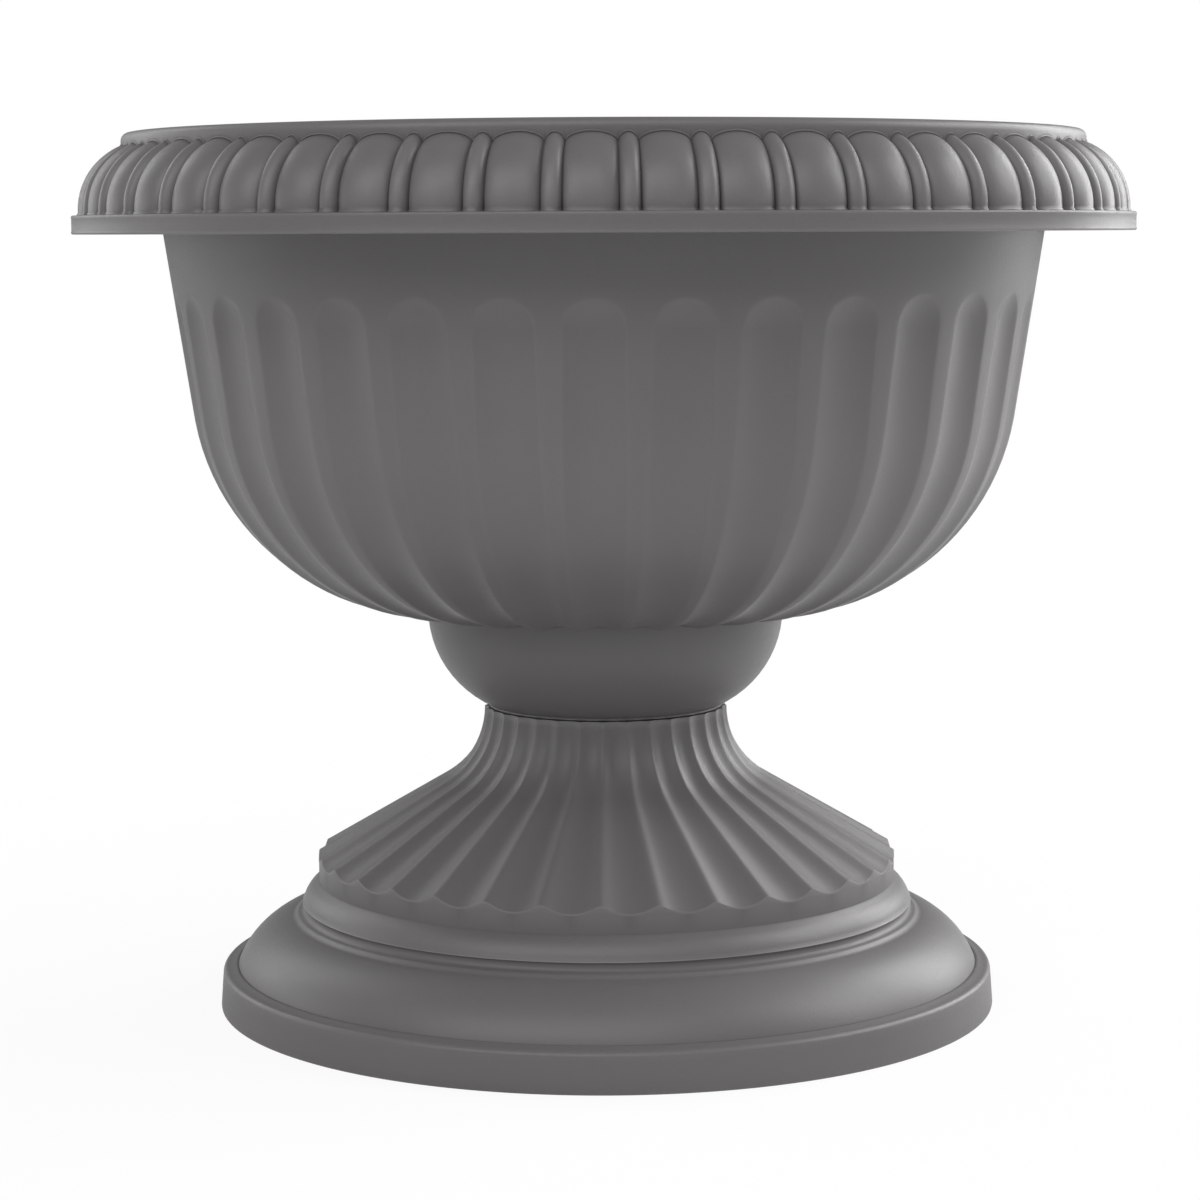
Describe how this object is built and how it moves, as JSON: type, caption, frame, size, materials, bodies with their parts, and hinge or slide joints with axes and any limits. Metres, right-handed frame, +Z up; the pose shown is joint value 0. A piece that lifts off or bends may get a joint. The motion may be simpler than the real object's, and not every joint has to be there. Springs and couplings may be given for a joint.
{
  "type": "urn planter",
  "caption": "Round urn planter: a fluted bowl with a gadrooned rim, twist-locked onto a fluted, moulded pedestal.",
  "frame": {"origin": "centre of the foot, on the floor", "axes": "+Z up along the urn's axis; the front faces -Y, where a flute groove of the bowl, an egg of the rim and a crest of the pedestal line up"},
  "size_m": [0.4572, 0.4572, 0.3803],
  "materials": {
    "pedestal_resin": "charcoal grey moulded resin, satin, with a fine cast-stone grain",
    "bowl_resin": "charcoal grey moulded resin, satin, with a fine cast-stone grain",
    "plug_resin": "black moulded resin, satin"
  },
  "bodies": {
    "pedestal": {"pedestal": "pedestal_resin"},
    "bowl": {"bowl": "bowl_resin"},
    "drain_plug_1": {"drain_plug_1": "plug_resin"},
    "drain_plug_2": {"drain_plug_2": "plug_resin"},
    "drain_plug_3": {"drain_plug_3": "plug_resin"}
  },
  "joints": [
    {"name": "bowl_twist", "type": "hinge", "parent": "pedestal", "child": "bowl", "pos_m": [0, 0, 0.1307], "axis": [0, 0, 1], "range_deg": [0, 40]},
    {"name": "drain_plug_1_pull", "type": "slide", "parent": "bowl", "child": "drain_plug_1", "axis": [0, 0, 1], "range_m": [0, 0.02]},
    {"name": "drain_plug_2_pull", "type": "slide", "parent": "bowl", "child": "drain_plug_2", "axis": [0, 0, 1], "range_m": [0, 0.02]},
    {"name": "drain_plug_3_pull", "type": "slide", "parent": "bowl", "child": "drain_plug_3", "axis": [0, 0, 1], "range_m": [0, 0.02]}
  ]
}
